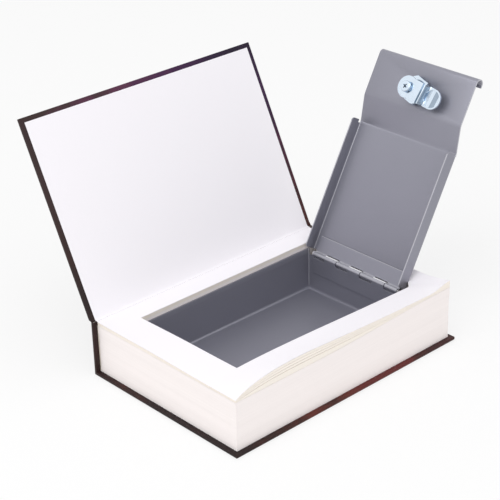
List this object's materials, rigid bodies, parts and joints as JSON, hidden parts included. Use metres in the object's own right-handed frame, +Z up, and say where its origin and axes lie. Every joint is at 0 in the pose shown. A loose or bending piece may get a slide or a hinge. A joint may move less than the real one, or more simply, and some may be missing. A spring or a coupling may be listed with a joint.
{
  "type": "book diversion safe",
  "caption": "Hardback book cut out round a grey folded steel box; the inset lid stands open on a pinned hinge, with a cam lock near its curled free end.",
  "frame": {"origin": "centre of the back cover's outer face, which the book rests on", "axes": "+X along the spine from the book's tail to its head, +Y from the fore edge to the spine, +Z up out of the back cover"},
  "size_m": [0.3063, 0.2406, 0.197],
  "materials": {
    "greyboard": "dense greyboard",
    "printed_wrap": "printed cover paper with a thin gloss film",
    "endpaper": "smooth white endpaper",
    "page_paper": "uncoated book paper",
    "spine_paper": "glued lining paper",
    "adhesive": "double-sided pad",
    "box_paint": "satin grey powder coat",
    "lid_paint": "satin grey powder coat",
    "zinc": "bright zinc plate",
    "steel_wire": "drawn steel",
    "brass": "machined brass"
  },
  "bodies": {
    "book": {"back_board": "greyboard", "spine_board": "greyboard", "case_wrap": "printed_wrap", "back_endpaper": "endpaper", "front_flyleaf": "endpaper", "text_block": "page_paper", "loose_leaf_1": "page_paper", "loose_leaf_2": "page_paper", "loose_leaf_3": "page_paper", "loose_leaf_4": "page_paper", "spine_lining": "spine_paper", "box_adhesive_pad": "adhesive", "steel_box": "box_paint", "box_hinge_leaf": "box_paint", "hinge_pin": "steel_wire"},
    "front_cover": {"front_board": "greyboard", "front_cover_wrap": "printed_wrap", "front_endpaper": "endpaper"},
    "box_lid": {"lid_panel": "lid_paint", "lid_hinge_leaf": "lid_paint", "lock_body": "zinc", "lock_tooth_washer": "zinc", "lock_nut": "zinc"},
    "lock_plug": {"lock_plug": "brass", "stop_washer": "zinc", "cam": "zinc", "cam_spring_washer": "zinc", "cam_screw": "zinc", "wafer_1": "brass", "wafer_2": "brass", "wafer_3": "brass", "wafer_4": "brass", "wafer_5": "brass", "wafer_spring_1": "steel_wire", "wafer_spring_2": "steel_wire", "wafer_spring_3": "steel_wire", "wafer_spring_4": "steel_wire", "wafer_spring_5": "steel_wire"}
  },
  "joints": [
    {"name": "cover_hinge", "type": "hinge", "parent": "book", "child": "front_cover", "pos_m": [0, 0.0824, 0.0479], "axis": [1, 0, 0], "range_deg": [-78, 50]},
    {"name": "lid_hinge", "type": "hinge", "parent": "book", "child": "box_lid", "pos_m": [0.0956, 0.00595, 0.03825], "axis": [0, 1, 0], "range_deg": [-119.5, 0]},
    {"name": "lock_turn", "type": "hinge", "parent": "box_lid", "child": "lock_plug", "pos_m": [0.16851, 0.00595, 0.17727], "axis": [0.8704, 0, -0.4924], "range_deg": [-90, 0]}
  ]
}
